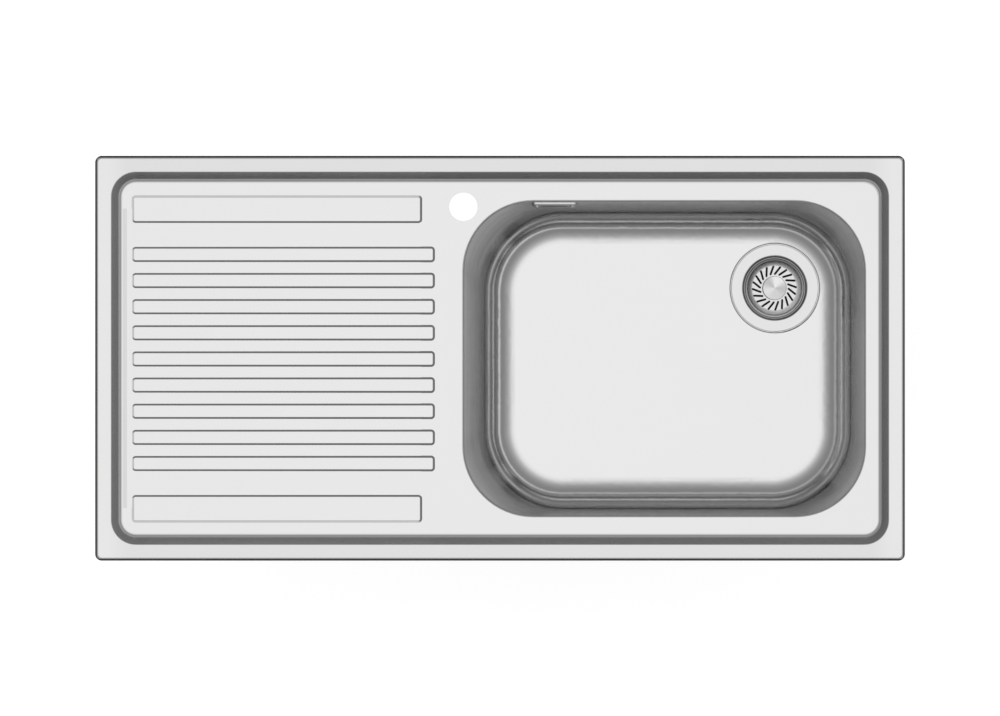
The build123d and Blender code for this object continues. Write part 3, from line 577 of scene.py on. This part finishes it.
def cut_thread(shape, core, crest, pitch, low, high, steps, middle=(0.0, 0.0)):
    """A helical ridge from low to high about an upright axis, tapering into its core at both ends."""
    root = core - 0.1 * pitch
    width = 0.8                                # of the ridge at its root, in pitches
    section = [(root, 0.0), (crest, 0.34 * pitch), (crest, 0.46 * pitch), (root, width * pitch)]
    corners = [shape.verts.new((middle[0] + radius, middle[1], low + height)) for radius, height in section]
    face = shape.faces.new(corners)
    turns = (high - low) / pitch - width
    count = int(turns * steps)
    made = bmesh.ops.spin(shape, geom=[face], cent=(*middle, 0), axis=(0, 0, 1), dvec=(0, 0, pitch / steps),
                          angle=count * 2 * math.pi / steps, steps=count, use_merge=False,
                          use_normal_flip=False, use_duplicate=False)
    for end in (corners, [v for v in made["geom_last"] if isinstance(v, bmesh.types.BMVert)]):
        for corner in end:
            level = Vector((*middle, corner.co.z))
            corner.co = level + (corner.co - level).normalized() * root


def copy_of(node):
    """A bmesh copy of a CAD node with its doubles merged."""
    shape = bmesh.new()
    shape.from_mesh(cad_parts[node].data)
    bmesh.ops.remove_doubles(shape, verts=shape.verts, dist=1e-6)
    bmesh.ops.dissolve_degenerate(shape, dist=1e-7, edges=shape.edges)
    return shape


class Route:
    """A smooth line near given points, walked by its length."""

    def __init__(self, points):
        curve = bpy.data.curves.new("route", "CURVE")
        curve.dimensions = "3D"
        spline = curve.splines.new("NURBS")
        spline.points.add(len(points) - 1)
        for point, place in zip(spline.points, points):
            point.co = (*place, 1.0)
        spline.order_u = 3
        spline.use_endpoint_u = True
        spline.resolution_u = 64
        holder = bpy.data.objects.new("route", curve)
        line = bpy.data.meshes.new_from_object(holder)
        self.points = [vertex.co.copy() for vertex in line.vertices]
        bpy.data.objects.remove(holder)
        bpy.data.curves.remove(curve)
        bpy.data.meshes.remove(line)
        self.walked = [0.0]
        for first, second in zip(self.points, self.points[1:]):
            self.walked.append(self.walked[-1] + (second - first).length)
        self.whole = self.walked[-1]

    def place(self, along):
        """The place at a length from the start."""
        along = min(max(along, 0.0), self.whole)
        step = max(1, bisect_left(self.walked, along))
        first, second = self.walked[step - 1], self.walked[step]
        return self.points[step - 1].lerp(self.points[step], (along - first) / (second - first))

    def ahead(self, along):
        """The direction at a length from the start."""
        return (self.place(along + 0.001) - self.place(along - 0.001)).normalized()


def skin(shape, route, stations, steps):
    """Rings of the stations' radii along a route, joined into one closed skin."""
    side = Vector((1, 0, 0))
    rings = []
    for along, radius in stations:
        ahead = route.ahead(along)
        side = (side - ahead * side.dot(ahead)).normalized()
        across = ahead.cross(side)
        ring = []
        for step in range(steps):
            angle = 2 * math.pi * step / steps
            arm = math.cos(angle) * side + math.sin(angle) * across
            ring.append(shape.verts.new(route.place(along) + radius * arm))
        rings.append(ring)
    for ring, following in zip(rings, rings[1:] + rings[:1]):
        for step in range(steps):
            nearby = (step + 1) % steps
            shape.faces.new((ring[step], ring[nearby], following[nearby], following[step]))


def boxed(shape, x_span, y_span, z_span, place, rounding=0.0):
    """A box between pairs of coordinates, in a place's own axes."""
    spans = (x_span, y_span, z_span)
    size = Matrix.Diagonal([high - low for low, high in spans] + [1.0])
    middle = Matrix.Translation([(low + high) / 2 for low, high in spans])
    corners = bmesh.ops.create_cube(shape, size=1.0, matrix=place @ middle @ size)["verts"]
    if rounding:
        edges = list({edge for corner in corners for edge in corner.link_edges})
        bmesh.ops.bevel(shape, geom=edges, offset=rounding, segments=3, affect="EDGES", profile=0.5)


def rod(shape, radius, low, high, place, segments=24):
    """A rod along a place's own Z."""
    bmesh.ops.create_cone(shape, cap_ends=True, segments=segments, radius1=radius, radius2=radius,
                          depth=high - low, matrix=place @ Matrix.Translation((0, 0, (low + high) / 2)))


def band_clip(shape, route, along, out, bore):
    """A worm-drive band on a hose: strap with its tail and marks, housing, and a slotted hexagon screw."""
    ahead = route.ahead(along)
    out = (out - ahead * out.dot(ahead)).normalized()
    axes = Matrix((out, ahead.cross(out), ahead)).transposed().to_4x4()
    place = Matrix.Translation(route.place(along)) @ axes
    half, wall = 0.0042, 0.0006                # of the strap's width, and its thickness
    worn = 0.0002                              # how far its outer edges have worn in
    marks, mark_lean = 50, 0.12
    tail_from, tail_step = 28, 6               # degrees round the hose
    strap = bmesh.new()
    outer = bore + wall
    turn(strap, [(bore, -half), (outer, -half + worn), (outer, half - worn), (bore, half), (bore, -half)], 64)
    for mark in range(marks):
        at = Matrix.Rotation(2 * math.pi * mark / marks, 4, "Z") @ Matrix.Translation((outer, 0, 0))
        at = at @ Matrix.Rotation(mark_lean, 4, "X")
        boxed(strap, (-0.0002, 0.00012), (-0.00035, 0.00035), (-0.0026, 0.0026), at)
    for step in range(7):
        at = Matrix.Rotation(math.radians(tail_from + tail_step * step), 4, "Z")
        boxed(strap, (outer, bore + 2.2 * wall), (-0.00075, 0.00075), (-half, half), at)
    bottom, top = outer - 0.0002, bore + 0.0050
    housing_half = half + 0.0004
    boxed(strap, (bottom, top), (-0.0058, 0.0058), (-housing_half, housing_half), Matrix.Identity(4), 0.0007)
    screw_out = (bottom + top) / 2 + 0.0002
    screw = Matrix.Translation((screw_out, 0, 0)) @ Matrix.Rotation(-math.pi / 2, 4, "X")
    rod(strap, 0.0021, -0.0072, 0.0075, screw)
    rod(strap, 0.0034, 0.0072, 0.0102, screw, 6)
    rod(strap, 0.0040, 0.0066, 0.0072, screw)
    for side in (-1, 1):
        boxed(strap, sorted((side * 0.0005, side * 0.0029)), (-0.0018, 0.0018), (0.0102, 0.0108), screw)
    spare = bpy.data.meshes.new("band")
    strap.to_mesh(spare)
    strap.free()
    spare.transform(place)
    shape.from_mesh(spare)
    bpy.data.meshes.remove(spare)


def middle_of(node):
    """The middle of a CAD node's box."""
    low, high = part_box(node)
    return (Vector(low) + Vector(high)) / 2


# ---- operators
class SINK_OT_finish_sheet(bpy.types.Operator):
    """Finishes the pressed top and the drawn bowl"""
    bl_idname = "sink.finish_sheet"
    bl_label = "Finish the top and bowl"

    def execute(self, context):
        dress(["sink_top"], satin_steel())
        dress(["bowl"], drawn_steel())
        return {"FINISHED"}


class SINK_OT_finish_waste(bpy.types.Operator):
    """Finishes the waste, its basket and its stopper"""
    bl_idname = "sink.finish_waste"
    bl_label = "Finish the waste"

    def execute(self, context):
        dress(["basket", "overflow_plate"], waste_steel())
        dress(["waste_cup", "waste_screw", "stem", "stem_clip"], well_steel_painted_shade())
        dress(["knob"], turned_steel())
        dress(["overflow_screws"], screw_steel())
        dress(["waste_body", "overflow_elbow", "basket_hub"], moulded_plastic())
        dress(["cup_seal", "cup_washer", "overflow_gasket", "stopper_seal"], rubber())
        return {"FINISHED"}


class SINK_OT_thread_outlet(bpy.types.Operator):
    """Cuts the pipe thread on the waste body's outlet"""
    bl_idname = "sink.thread_outlet"
    bl_label = "Thread the outlet"

    def execute(self, context):
        sizes = context.scene.sink_pieces
        outlet_long, lead_in, run_out = 0.026, 0.0004, 0.002
        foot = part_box("waste_body")[0][2]
        middle = middle_of("waste_cup")
        cone = foot + outlet_long
        shape = copy_of("waste_body")
        for corner in shape.verts:
            axis = Vector((middle.x, middle.y, corner.co.z))
            arm = corner.co - axis
            if corner.co.z < cone + 1e-4 and arm.length > sizes.outlet_radius - 0.001:
                corner.co = axis + arm.normalized() * (arm.length - sizes.outlet_radius + sizes.outlet_core)
        cut_thread(shape, sizes.outlet_core, sizes.outlet_radius, sizes.outlet_pitch, foot + lead_in,
                   cone - run_out, 64, middle.xy)
        piece = make_piece("threaded_waste_body", shape, bpy.data.materials["plastic"], "sink")
        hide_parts("waste_body")
        return {"FINISHED"}


class SINK_OT_lay_hose(bpy.types.Operator):
    """Lays the ribbed overflow hose and its two band clips"""
    bl_idname = "sink.lay_hose"
    bl_label = "Lay the overflow hose"

    def execute(self, context):
        sizes = context.scene.sink_pieces
        route = Route(hose_points)
        shape = bmesh.new()
        skin(shape, route, self.stations(route, sizes), sizes.turn_steps)
        hose = make_piece("ribbed_hose", shape, hose_plastic(), "sink", 50.0)
        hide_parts("overflow_hose")
        clips = bmesh.new()
        near = hose_lap / 2 + 0.001
        band_clip(clips, route, near, Vector((-1, 0, 0)), sizes.hose_cuff)
        band_clip(clips, route, route.whole - near, Vector((0, -1, 0)), sizes.hose_cuff)
        bands = make_piece("band_clips", clips, bpy.data.materials["screw_steel"], "sink")
        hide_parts("hose_clips")
        return {"FINISHED"}

    def stations(self, route, sizes):
        """(place along, radius) of each ring: out along the cuffs and ribs, and back along the bore."""
        soft = 0.0008                          # rounding of a cuff's end
        out = [(0.0, sizes.hose_cuff - soft), (soft, sizes.hose_cuff)]
        pitch = (route.whole - 2 * sizes.cuff_long) / sizes.rib_count
        swell = sizes.hose_crest - sizes.hose_valley
        out.append((sizes.cuff_long - 0.2 * pitch, sizes.hose_cuff))
        for rib in range(sizes.rib_count):
            for part in range(8):
                rise = (0.5 - 0.5 * math.cos(2 * math.pi * part / 8)) ** 0.6
                out.append((sizes.cuff_long + (rib + part / 8) * pitch, sizes.hose_valley + swell * rise))
        out += [(route.whole - sizes.cuff_long, sizes.hose_valley),
                (route.whole - sizes.cuff_long + 0.2 * pitch, sizes.hose_cuff),
                (route.whole - soft, sizes.hose_cuff), (route.whole, sizes.hose_cuff - soft)]
        count = int(route.whole / 0.004)
        return out + [(route.whole * (1 - step / count), sizes.hose_bore) for step in range(count + 1)]


class SINK_OT_finish_underside(bpy.types.Operator):
    """Finishes the rails, brackets, clip hooks, pads and the rim's seal"""
    bl_idname = "sink.finish_underside"
    bl_label = "Finish the underside"

    def execute(self, context):
        dress([*rails, "clip_brackets"], rail_steel())
        dress([f"clip_arm_{number:02d}" for number in clip_numbers], zinc_steel())
        dress(["bowl_pad", "drain_pad"], damping_pad())
        dress(["rim_seal"], foam())
        return {"FINISHED"}


class SINK_OT_weld_rails(bpy.types.Operator):
    """Puts spot welds along the rails and weld beads beside the brackets"""
    bl_idname = "sink.weld_rails"
    bl_label = "Weld the rails"

    def execute(self, context):
        sizes = context.scene.sink_pieces
        shape = bmesh.new()
        for rail in rails:
            self.spot(shape, rail, sizes)
        faces = {(0, 1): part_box("rail_rear_left")[1][1], (0, -1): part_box("rail_front")[0][1],
                 (1, 0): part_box("rail_right")[1][0], (-1, 0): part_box("rail_left")[0][0]}
        middle_down = 0.0135                   # of the beads, below the brackets' top
        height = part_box("clip_brackets")[1][2] - middle_down
        for number in clip_numbers:
            place = middle_of(f"clip_screw_{number:02d}")
            if abs(place.y) > 0.2:             # a clip of the long sides
                out = (0, round(place.y / abs(place.y)))
                foot = Vector((place.x, faces[out], height))
            else:
                out = (round(place.x / abs(place.x)), 0)
                foot = Vector((faces[out], place.y, height))
            self.beads(shape, foot, Vector((*out, 0)))
        make_piece("rail_welds", shape, bpy.data.materials["rail_steel"], "sink")
        return {"FINISHED"}

    def spot(self, shape, rail, sizes):
        """Spot welds on the underside of a rail's flange."""
        low, high = (Vector(corner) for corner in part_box(rail))
        along = 0 if high.x - low.x > high.y - low.y else 1
        flange = 0.0012                        # its thickness
        count = int((high[along] - low[along]) / sizes.weld_pitch)
        for step in range(count):
            place = (low + high) / 2
            place[along] += (step - (count - 1) / 2) * sizes.weld_pitch
            place.z = high.z - flange
            bmesh.ops.create_cone(shape, cap_ends=True, segments=20, radius1=0.7 * sizes.weld_radius,
                                  radius2=sizes.weld_radius, depth=0.0003, matrix=Matrix.Translation(place))

    def beads(self, shape, foot, out):
        """Two upright weld beads on a web, at the sides of a bracket 24 mm wide."""
        side = Vector((0, 0, 1)).cross(out)
        for half in (-0.0121, 0.0121):
            for step in range(7):
                place = foot + side * half + out * 0.0003 + Vector((0, 0, 0.0016 * step - 0.0048))
                bmesh.ops.create_uvsphere(shape, u_segments=10, v_segments=6, radius=0.0013,
                                          matrix=Matrix.Translation(place))


class SINK_OT_thread_screws(bpy.types.Operator):
    """Puts a helical thread on each clip screw"""
    bl_idname = "sink.thread_screws"
    bl_label = "Thread the clip screws"

    def execute(self, context):
        sizes = context.scene.sink_pieces
        material = bpy.data.materials["screw_steel"]
        head_high = 0.0035
        for number in clip_numbers:
            node = f"clip_screw_{number:02d}"
            low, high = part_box(node)
            middle = middle_of(node)
            shoulder = low[2] + head_high
            shape = copy_of(node)
            bmesh.ops.bisect_plane(shape, geom=[*shape.verts, *shape.edges, *shape.faces], dist=1e-7,
                                   plane_co=(0, 0, shoulder + 0.0001), plane_no=(0, 0, 1), clear_outer=True)
            shank = bmesh.new()
            core, tip, chamfer = sizes.screw_core, high[2], 0.0006
            turn(shank, [(0.0, shoulder - 0.001), (core, shoulder - 0.001), (core, tip - chamfer),
                         (core - chamfer, tip), (0.0, tip)], 20)
            bmesh.ops.translate(shank, verts=shank.verts, vec=(middle.x, middle.y, 0))
            cut_thread(shank, core, sizes.screw_radius, sizes.screw_pitch, shoulder, tip - 0.0003, 20,
                       (middle.x, middle.y))
            spare = bpy.data.meshes.new("shank")
            shank.to_mesh(spare)
            shank.free()
            shape.from_mesh(spare)
            bpy.data.meshes.remove(spare)
            piece = make_piece(f"threaded_screw_{number:02d}", shape, material, f"clip_bolt_{number:02d}")
            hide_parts(node)
        return {"FINISHED"}


class SINK_OT_set_stage(bpy.types.Operator):
    """Sets the pale floor, the soft light and the camera"""
    bl_idname = "sink.set_stage"
    bl_label = "Set the stage"

    def execute(self, context):
        stage = context.scene.sink_stage
        self.set_floor(stage)
        self.set_world(context.scene, stage)
        self.set_lamp(stage)
        self.set_camera(context.scene, stage)
        context.scene.view_settings.view_transform = "Standard"
        return {"FINISHED"}

    def set_floor(self, stage):
        shape = bmesh.new()
        bmesh.ops.create_circle(shape, cap_ends=True, segments=96, radius=stage.floor_radius)
        bmesh.ops.translate(shape, verts=shape.verts, vec=(0, 0, cad_box[0][2] - stage.floor_gap))
        mesh = bpy.data.meshes.new("floor")
        shape.to_mesh(mesh)
        shape.free()
        floor = bpy.data.objects.new("floor", mesh)
        bpy.context.scene.collection.objects.link(floor)
        material = bpy.data.materials.new("pale_floor")
        material.use_nodes = True
        mesh.materials.append(material)
        shader = Shader(material.node_tree)
        path = shader.add("ShaderNodeLightPath")
        seen = path["Is Camera Ray"].larger(path["Is Transmission Ray"])
        matt = shader.add("ShaderNodeBsdfDiffuse", None, {"Color": (*stage.floor_colour, 1.0)})["BSDF"]
        mirrored = shader.add("ShaderNodeEmission", None, {"Strength": stage.floor_mirrored})["Emission"]
        soft = shader.add("ShaderNodeBsdfDiffuse", None, {"Color": (0.24, 0.24, 0.24, 1.0)})["BSDF"]
        glow = shader.add("ShaderNodeEmission", None, {"Strength": stage.floor_glow})["Emission"]
        pale = shader.add("ShaderNodeAddShader", None, {0: soft, 1: glow})["Shader"]
        bounced = path["Is Glossy Ray"]
        other = shader.add("ShaderNodeMixShader", None, {0: bounced, 1: matt, 2: mirrored})["Shader"]
        front = shader.add("ShaderNodeMixShader", None, {0: seen, 1: other, 2: pale})["Shader"]
        clear = shader.add("ShaderNodeBsdfTransparent")["BSDF"]
        behind = shader.add("ShaderNodeNewGeometry")["Backfacing"]
        surface = shader.add("ShaderNodeMixShader", None, {0: behind, 1: front, 2: clear})["Shader"]
        shader.add("ShaderNodeOutputMaterial", None, {"Surface": surface})

    def set_world(self, scene, stage):
        """A pale room, even on matt surfaces."""
        world = bpy.data.worlds.new("pale_room")
        world.use_nodes = True
        scene.world = world
        shader = Shader(world.node_tree)
        path = shader.add("ShaderNodeLightPath")
        seen = path["Is Camera Ray"].larger(path["Is Transmission Ray"])
        lit = shader.mix(path["Is Glossy Ray"], (stage.room_light,) * 3, self.mirrored_room(shader))
        colours = shader.mix(seen, lit, (1.0, 1.0, 1.0))
        background = shader.add("ShaderNodeBackground", None, {"Color": colours})["Background"]
        shader.add("ShaderNodeOutputWorld", None, {"Surface": background})

    def mirrored_room(self, shader):
        """The room as metal mirrors it: white overhead and grey at the sides, with a pale strip low down."""
        direction = shader.add("ShaderNodeTexCoord")["Generated"]
        split = shader.add("ShaderNodeSeparateXYZ", None, {"Vector": direction})
        x, y, z = split["X"], split["Y"], split["Z"]
        level = (x ** 2.0 + y ** 2.0) ** 0.5 + 0.0001
        right, back = x / level, y / level
        elevation = z.maths("ARCSINE", z) / (math.pi / 2)
        walls = shader.add("ShaderNodeValToRGB", {"stops": [
            (0.0, 0.15), (0.10, 0.16), (0.20, 0.23), (0.35, 0.27), (0.42, 0.25), (0.50, 0.27), (0.58, 0.32),
            (0.67, 0.41), (0.74, 0.53), (0.81, 0.70), (0.87, 0.84), (0.93, 0.95), (1.0, 1.0)]},
            {"Fac": elevation})["Color"]
        low = 1.0 - elevation.between(0.0, 0.14)
        strip = elevation.between(0.22, 0.30) * (1.0 - elevation.between(0.30, 0.38))
        beneath = 0.5 * (0.0 - elevation).between(0.1, 0.7)
        return (walls * (1.0 + low * (0.19 * right + 0.245 * back - 0.19 - 0.215 * back ** 2.0))
                + strip * (0.29 + 0.125 * right - 0.05 * back) + beneath)

    def set_lamp(self, stage):
        lamp = bpy.data.lights.new("soft_lamp", "AREA")
        lamp.energy = stage.lamp_power
        lamp.shape = "DISK"
        lamp.size = 2.0
        piece = bpy.data.objects.new("soft_lamp", lamp)
        bpy.context.scene.collection.objects.link(piece)
        piece.location = (-1.6, 1.4, 3.0)
        piece.rotation_euler = (Vector((0, 0, 0)) - piece.location).to_track_quat("-Z", "Y").to_euler()
        piece.visible_camera = False
        piece.visible_glossy = False

    def set_camera(self, scene, stage):
        camera = bpy.data.cameras.new("camera")
        camera.sensor_width = 36.0
        camera.lens = camera.sensor_width * stage.camera_height / stage.frame_width
        camera.clip_end = 100.0
        piece = bpy.data.objects.new("camera", camera)
        scene.collection.objects.link(piece)
        piece.location = (0.0, stage.frame_raise, cad_box[1][2] + stage.camera_height)
        scene.camera = piece


class SINK_PT_panel(bpy.types.Panel):
    """The sink's sizes, colours and steps"""
    bl_label = "Kitchen Sink"
    bl_idname = "SINK_PT_panel"
    bl_space_type = "VIEW_3D"
    bl_region_type = "UI"
    bl_category = "Sink"

    def draw(self, context):
        layout = self.layout
        for group in (context.scene.sink_finishes, context.scene.sink_pieces, context.scene.sink_stage):
            box = layout.box()
            for name in group.__annotations__:
                box.prop(group, name)
        for step in steps:
            layout.operator(step.bl_idname)


steps = (
    SINK_OT_finish_sheet,
    SINK_OT_finish_waste,
    SINK_OT_finish_underside,
    SINK_OT_thread_outlet,
    SINK_OT_lay_hose,
    SINK_OT_weld_rails,
    SINK_OT_thread_screws,
    SINK_OT_set_stage,
)
classes = (SinkStageSettings, SinkFinishSettings, SinkPieceSettings, *steps, SINK_PT_panel)


def register():
    for item in classes:
        bpy.utils.register_class(item)
    bpy.types.Scene.sink_stage = PointerProperty(type=SinkStageSettings)
    bpy.types.Scene.sink_finishes = PointerProperty(type=SinkFinishSettings)
    bpy.types.Scene.sink_pieces = PointerProperty(type=SinkPieceSettings)


def unregister():
    for name in ("sink_pieces", "sink_finishes", "sink_stage"):
        delattr(bpy.types.Scene, name)
    for item in reversed(classes):
        bpy.utils.unregister_class(item)


def main():
    """Runs every step in order."""
    register()
    for step in steps:
        group, name = step.bl_idname.split(".")
        getattr(getattr(bpy.ops, group), name)()


if __name__ == "__main__":
    main()
